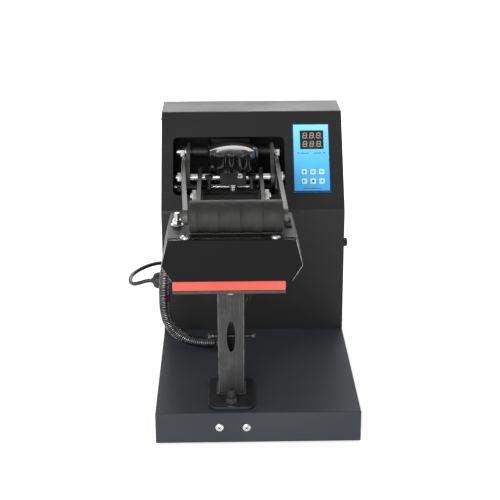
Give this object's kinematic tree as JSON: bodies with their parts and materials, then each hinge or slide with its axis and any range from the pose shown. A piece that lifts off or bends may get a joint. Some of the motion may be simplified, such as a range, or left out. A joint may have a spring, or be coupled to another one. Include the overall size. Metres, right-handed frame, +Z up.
{
  "type": "clamshell heat press",
  "caption": "Small clamshell heat press: a hinged heated platen under a hood closes on a padded lower platen, with a grip handle, pressure knob, sloped control casing and box base.",
  "frame": {"origin": "middle of the footprint of the machine without its cord and hose, on the table", "axes": "+Z up, +Y from the operator towards the casing at the back, +X to the operator's right"},
  "size_m": [0.3533, 0.554, 0.3751],
  "materials": {
    "black_powder": "fine black powder coat",
    "base_powder": "fine slate-black powder coat",
    "black_steel": "black painted steel, worn at the edges",
    "handle_steel": "dark oiled steel plate",
    "zinc": "bright zinc plating",
    "plate_steel": "dark greenish cast plate",
    "aluminium": "cast, lightly machined",
    "red_silicone": "coral red silicone foam",
    "grip_rubber": "matt moulded rubber",
    "black_rubber": "matt black",
    "gloss_black": "glossy moulded phenolic",
    "matt_plastic": "fine moulded texture",
    "panel_blue": "printed membrane overlay",
    "key_white": "pale cyan key",
    "display": "smoked display window",
    "board": "pressed mineral fibre board"
  },
  "bodies": {
    "machine": {"base_tray": "base_powder", "base_bottom_plate": "black_powder", "rubber_foot_1": "black_rubber", "rubber_foot_2": "black_rubber", "rubber_foot_3": "black_rubber", "rubber_foot_4": "black_rubber", "casing_front": "black_powder", "casing_left": "black_powder", "casing_right": "black_powder", "casing_back": "black_powder", "frame_base": "black_steel", "frame_column": "black_steel", "frame_bracket_left": "black_steel", "frame_bracket_right": "black_steel", "handle_shaft": "zinc", "arm_shaft": "zinc", "shaft_tube_left": "black_steel", "shaft_tube_right": "black_steel", "post_foot_plate": "black_steel", "platen_post": "black_steel", "cross_pin": "zinc", "lower_platen": "plate_steel", "silicone_pad": "red_silicone", "controller_case": "matt_plastic", "controller_face": "panel_blue", "display_window": "display", "fuse_cap": "matt_plastic", "cord_gland": "matt_plastic", "mains_cord": "black_rubber", "cord_coil": "black_rubber", "mains_plug": "matt_plastic", "heater_hose": "black_rubber", "hose_gland": "matt_plastic"},
    "handle": {"handle_eye_left": "black_steel", "handle_eye_right": "black_steel", "handle_arm_left": "handle_steel", "handle_arm_right": "handle_steel", "crank_pin_left": "zinc", "crank_pin_right": "zinc", "grip_bar": "black_steel", "rubber_grip": "grip_rubber"},
    "trunnion": {"trunnion_block": "black_steel"},
    "swivel_foot": {"screw_foot": "zinc"},
    "knob": {"pressure_screw": "zinc", "pressure_knob": "gloss_black"},
    "arm": {"arm_plate_left": "black_steel", "arm_plate_right": "black_steel", "arm_crossbar": "black_steel", "heating_plate": "aluminium", "insulation_board": "board", "hanger_plate": "black_steel", "platen_cover": "black_powder", "front_guard": "black_powder"},
    "power_rocker": {"rocker_switch": "matt_plastic"},
    "key_1_cap": {"key_1": "key_white"},
    "key_2_cap": {"key_2": "key_white"},
    "key_3_cap": {"key_3": "key_white"},
    "key_4_cap": {"key_4": "key_white"},
    "key_5_cap": {"key_5": "key_white"},
    "key_6_cap": {"key_6": "key_white"}
  },
  "joints": [
    {"name": "handle_hinge", "type": "hinge", "parent": "machine", "child": "handle", "pos_m": [-0.0395, 0.1395, 0.3142], "axis": [-1, 0, 0], "range_deg": [0, 35]},
    {"name": "arm_hinge", "type": "hinge", "parent": "machine", "child": "arm", "pos_m": [-0.0395, 0.1515, 0.2532], "axis": [-1, 0, 0], "range_deg": [0, 24.6], "deforming": ["heater_hose"]},
    {"name": "trunnion_turn", "type": "hinge", "parent": "handle", "child": "trunnion", "pos_m": [-0.0395, 0.0895, 0.287], "axis": [-1, 0, 0], "range_deg": [-35.1, 0]},
    {"name": "screw_travel", "type": "slide", "parent": "trunnion", "child": "swivel_foot", "axis": [0, 0, 1], "range_m": [0, 0.0053]},
    {"name": "knob_turn", "type": "hinge", "parent": "swivel_foot", "child": "knob", "pos_m": [-0.0355, 0.0895, 0.3], "axis": [0, 0, 1], "range_deg": [0, 1080]},
    {"name": "power_switch", "type": "hinge", "parent": "machine", "child": "power_rocker", "pos_m": [0.1335, 0.1165, 0.126], "axis": [0, 1, 0], "range_deg": [0, 8]},
    {"name": "key_1_press", "type": "slide", "parent": "machine", "child": "key_1_cap", "axis": [0, 0.8166, -0.5772], "range_m": [0, 0.0005], "stiffness_N_per_m": 400},
    {"name": "key_2_press", "type": "slide", "parent": "machine", "child": "key_2_cap", "axis": [0, 0.8166, -0.5772], "range_m": [0, 0.0005], "stiffness_N_per_m": 400},
    {"name": "key_3_press", "type": "slide", "parent": "machine", "child": "key_3_cap", "axis": [0, 0.8166, -0.5772], "range_m": [0, 0.0005], "stiffness_N_per_m": 400},
    {"name": "key_4_press", "type": "slide", "parent": "machine", "child": "key_4_cap", "axis": [0, 0.8166, -0.5772], "range_m": [0, 0.0005], "stiffness_N_per_m": 400},
    {"name": "key_5_press", "type": "slide", "parent": "machine", "child": "key_5_cap", "axis": [0, 0.8166, -0.5772], "range_m": [0, 0.0005], "stiffness_N_per_m": 400},
    {"name": "key_6_press", "type": "slide", "parent": "machine", "child": "key_6_cap", "axis": [0, 0.8166, -0.5772], "range_m": [0, 0.0005], "stiffness_N_per_m": 400}
  ],
  "couplings": [
    {"joint": "arm_hinge", "follows": "handle_hinge", "ratio": 0.7},
    {"joint": "trunnion_turn", "follows": "handle_hinge", "ratio": -1},
    {"joint": "screw_travel", "follows": "knob_turn", "m_per_rad": 0.00027852}
  ]
}
